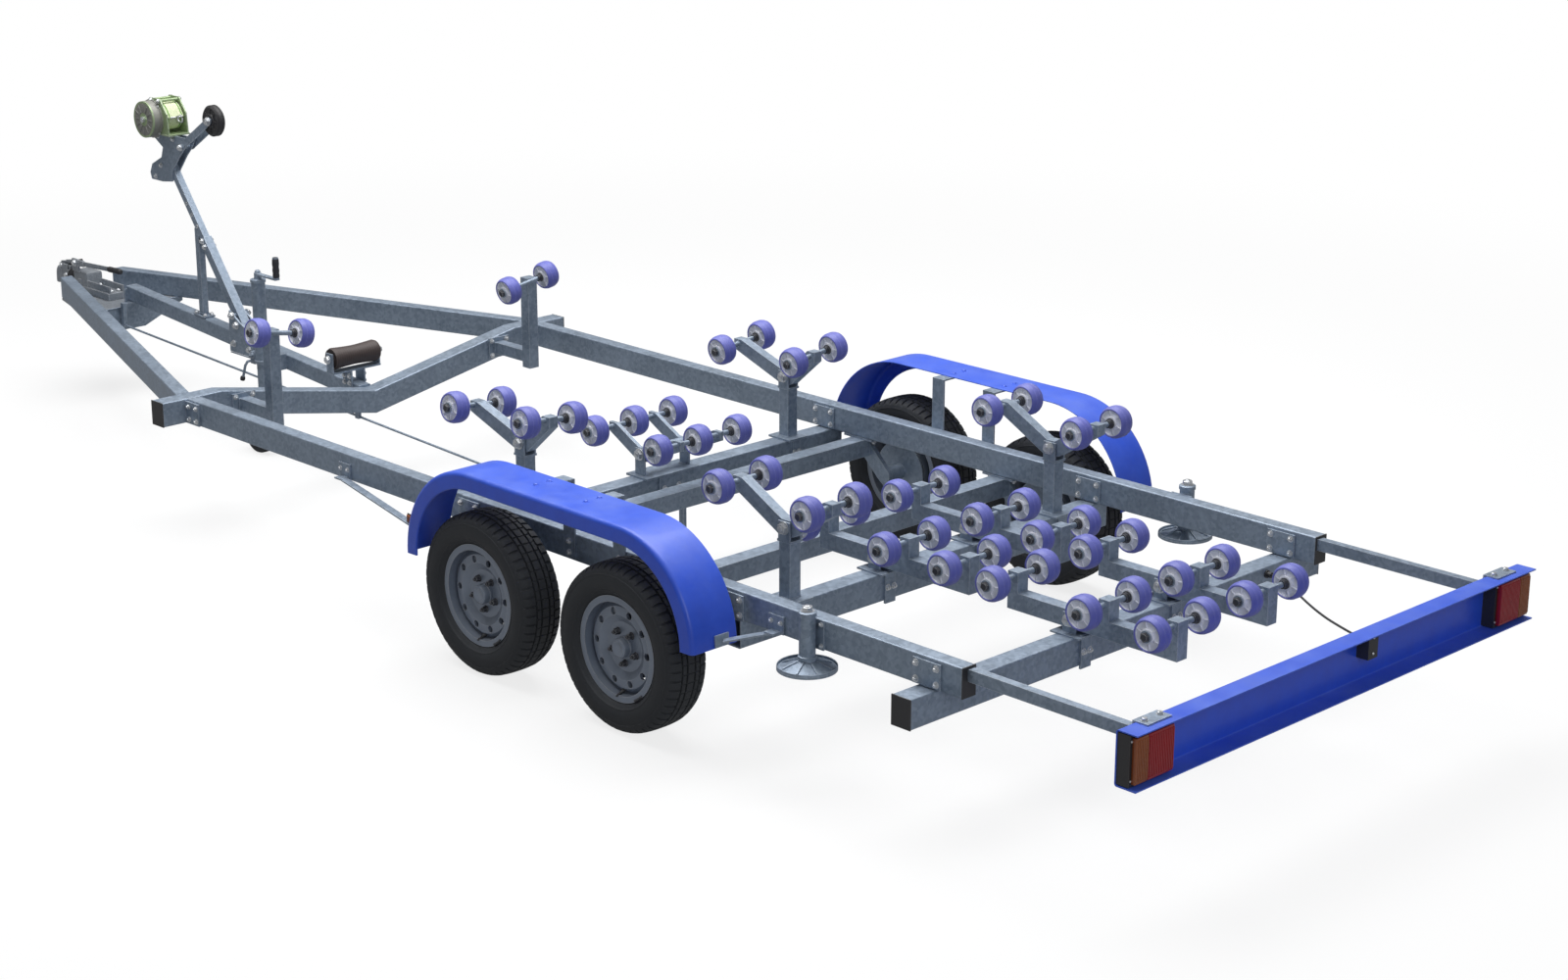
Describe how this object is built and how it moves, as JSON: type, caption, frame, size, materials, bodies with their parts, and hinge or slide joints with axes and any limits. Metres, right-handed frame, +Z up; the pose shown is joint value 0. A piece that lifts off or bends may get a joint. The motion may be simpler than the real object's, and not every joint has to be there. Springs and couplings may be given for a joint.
{
  "type": "tandem-axle boat trailer",
  "caption": "Braked tandem-axle boat trailer with side rails, a drawbar, swinging roller cradles, a winch post, mudguards and a removable light bar.",
  "frame": {"origin": "on the ground, at the middle of the trailer's length and width", "axes": "+X points forward to the coupling, +Y to the trailer's left, +Z up"},
  "size_m": [7.511, 2.34, 1.48],
  "materials": {
    "galvanised": "hot-dip galvanised, dull",
    "blue_sheet": "bright blue coated sheet",
    "coupling_iron": "zinc-coated casting",
    "winch_paint": "satin grey-green",
    "webbing": "woven strap",
    "black_plastic": "moulded, matt",
    "red_lens": "ribbed dark red",
    "blue_roller": "moulded, satin",
    "black_rubber": "moulded, matt",
    "tyre_rubber": "worn tread",
    "wheel_steel": "silver-grey enamel",
    "cable_sheath": "soft sheath"
  },
  "bodies": {
    "chassis": {"axles": "galvanised", "brake_rod": "galvanised", "coupling_head": "coupling_iron", "cross_member_vee": "galvanised", "cross_members": "galvanised", "drawbar_legs": "galvanised", "drawbar_spine": "galvanised", "end_plugs": "black_plastic", "lamp_housings": "black_plastic", "lamp_lenses": "red_lens", "light_bar": "blue_sheet", "light_bar_arms": "galvanised", "light_cable": "cable_sheath", "mudguard_stays": "galvanised", "mudguards": "blue_sheet", "rails": "galvanised", "roller_stands": "galvanised", "stand_sleeves": "galvanised", "winch_frame": "winch_paint", "winch_post": "galvanised", "winch_strap": "webbing"},
    "road_wheel_front_left": {"tyre_front_left": "tyre_rubber", "wheel_front_left": "wheel_steel"},
    "road_wheel_front_right": {"tyre_front_right": "tyre_rubber", "wheel_front_right": "wheel_steel"},
    "road_wheel_back_left": {"tyre_back_left": "tyre_rubber", "wheel_back_left": "wheel_steel"},
    "road_wheel_back_right": {"tyre_back_right": "tyre_rubber", "wheel_back_right": "wheel_steel"},
    "jockey_spindle": {"jockey_leg": "galvanised"},
    "jockey_caster": {"jockey_fork": "galvanised"},
    "jockey_roller": {"jockey_wheel": "tyre_rubber"},
    "steady_left": {"steady_pad_left": "galvanised"},
    "steady_right": {"steady_pad_right": "galvanised"},
    "bow_stop": {"bow_roller": "black_rubber"},
    "keel_support": {"keel_roller": "black_rubber"},
    "front_pair_left": {"front_rollers_left": "blue_roller"},
    "front_pair_right": {"front_rollers_right": "blue_roller"},
    "outer_front_left_rocker": {"outer_front_left_cradle": "galvanised", "outer_front_left_rollers": "blue_roller"},
    "outer_back_left_rocker": {"outer_back_left_cradle": "galvanised", "outer_back_left_rollers": "blue_roller"},
    "inner_back_left_rocker": {"inner_back_left_cradle": "galvanised", "inner_back_left_rollers": "blue_roller"},
    "inner_rear_left_rocker": {"inner_rear_left_cradle": "galvanised", "inner_rear_left_rollers": "blue_roller"},
    "outer_front_right_rocker": {"outer_front_right_cradle": "galvanised", "outer_front_right_rollers": "blue_roller"},
    "outer_back_right_rocker": {"outer_back_right_cradle": "galvanised", "outer_back_right_rollers": "blue_roller"},
    "inner_back_right_rocker": {"inner_back_right_cradle": "galvanised", "inner_back_right_rollers": "blue_roller"},
    "inner_rear_right_rocker": {"inner_rear_right_cradle": "galvanised", "inner_rear_right_rollers": "blue_roller"},
    "centre_rocker": {"centre_cradle": "galvanised", "centre_rollers": "blue_roller"}
  },
  "joints": [
    {"name": "spin_front_left", "type": "hinge", "parent": "chassis", "child": "road_wheel_front_left", "pos_m": [-0.929, 1.069, 0.293], "axis": [0, 1, 0], "continuous": true},
    {"name": "spin_front_right", "type": "hinge", "parent": "chassis", "child": "road_wheel_front_right", "pos_m": [-0.929, -1.069, 0.293], "axis": [0, 1, 0], "continuous": true},
    {"name": "spin_back_left", "type": "hinge", "parent": "chassis", "child": "road_wheel_back_left", "pos_m": [-1.666, 1.069, 0.293], "axis": [0, 1, 0], "continuous": true},
    {"name": "spin_back_right", "type": "hinge", "parent": "chassis", "child": "road_wheel_back_right", "pos_m": [-1.666, -1.069, 0.293], "axis": [0, 1, 0], "continuous": true},
    {"name": "jockey_height", "type": "slide", "parent": "chassis", "child": "jockey_spindle", "axis": [0, 0, 1], "range_m": [-0.08, 0.07]},
    {"name": "jockey_swivel", "type": "hinge", "parent": "jockey_spindle", "child": "jockey_caster", "pos_m": [1.8545, 0.125, 0.2], "axis": [0, 0, 1], "continuous": true},
    {"name": "jockey_spin", "type": "hinge", "parent": "jockey_caster", "child": "jockey_roller", "pos_m": [1.8995, 0.125, 0.1], "axis": [0, 1, 0], "continuous": true},
    {"name": "steady_left_drop", "type": "slide", "parent": "chassis", "child": "steady_left", "axis": [0, 0, -1], "range_m": [0, 0.1]},
    {"name": "steady_right_drop", "type": "slide", "parent": "chassis", "child": "steady_right", "axis": [0, 0, -1], "range_m": [0, 0.1]},
    {"name": "bow_roller_spin", "type": "hinge", "parent": "chassis", "child": "bow_stop", "pos_m": [2.32199, 0, 1.41], "axis": [0, 1, 0], "continuous": true},
    {"name": "keel_roller_spin", "type": "hinge", "parent": "chassis", "child": "keel_support", "pos_m": [1.3485, 0, 0.526], "axis": [0, 1, 0], "continuous": true},
    {"name": "front_rollers_left_spin", "type": "hinge", "parent": "chassis", "child": "front_pair_left", "pos_m": [0.9435, 0.638, 0.806], "axis": [0, 0.9848, 0.1736], "continuous": true},
    {"name": "front_rollers_right_spin", "type": "hinge", "parent": "chassis", "child": "front_pair_right", "pos_m": [0.9435, -0.638, 0.806], "axis": [0, 0.9848, -0.1736], "continuous": true},
    {"name": "outer_front_left_tilt", "type": "hinge", "parent": "chassis", "child": "outer_front_left_rocker", "pos_m": [-0.6315, 0.666, 0.692], "axis": [0, 1, 0], "range_deg": [-14, 14]},
    {"name": "outer_back_left_tilt", "type": "hinge", "parent": "chassis", "child": "outer_back_left_rocker", "pos_m": [-2.0015, 0.666, 0.692], "axis": [0, 1, 0], "range_deg": [-14, 14]},
    {"name": "inner_back_left_tilt", "type": "hinge", "parent": "chassis", "child": "inner_back_left_rocker", "pos_m": [-2.0015, 0.232, 0.49], "axis": [0, 1, 0], "range_deg": [-8, 8]},
    {"name": "inner_rear_left_tilt", "type": "hinge", "parent": "chassis", "child": "inner_rear_left_rocker", "pos_m": [-2.8655, 0.232, 0.49], "axis": [0, 1, 0], "range_deg": [-8, 8]},
    {"name": "outer_front_right_tilt", "type": "hinge", "parent": "chassis", "child": "outer_front_right_rocker", "pos_m": [-0.6315, -0.666, 0.692], "axis": [0, 1, 0], "range_deg": [-14, 14]},
    {"name": "outer_back_right_tilt", "type": "hinge", "parent": "chassis", "child": "outer_back_right_rocker", "pos_m": [-2.0015, -0.666, 0.692], "axis": [0, 1, 0], "range_deg": [-14, 14]},
    {"name": "inner_back_right_tilt", "type": "hinge", "parent": "chassis", "child": "inner_back_right_rocker", "pos_m": [-2.0015, -0.232, 0.49], "axis": [0, 1, 0], "range_deg": [-8, 8]},
    {"name": "inner_rear_right_tilt", "type": "hinge", "parent": "chassis", "child": "inner_rear_right_rocker", "pos_m": [-2.8655, -0.232, 0.49], "axis": [0, 1, 0], "range_deg": [-8, 8]},
    {"name": "centre_tilt", "type": "hinge", "parent": "chassis", "child": "centre_rocker", "pos_m": [-0.6315, 0, 0.53], "axis": [0, 1, 0], "range_deg": [-12, 12]}
  ]
}
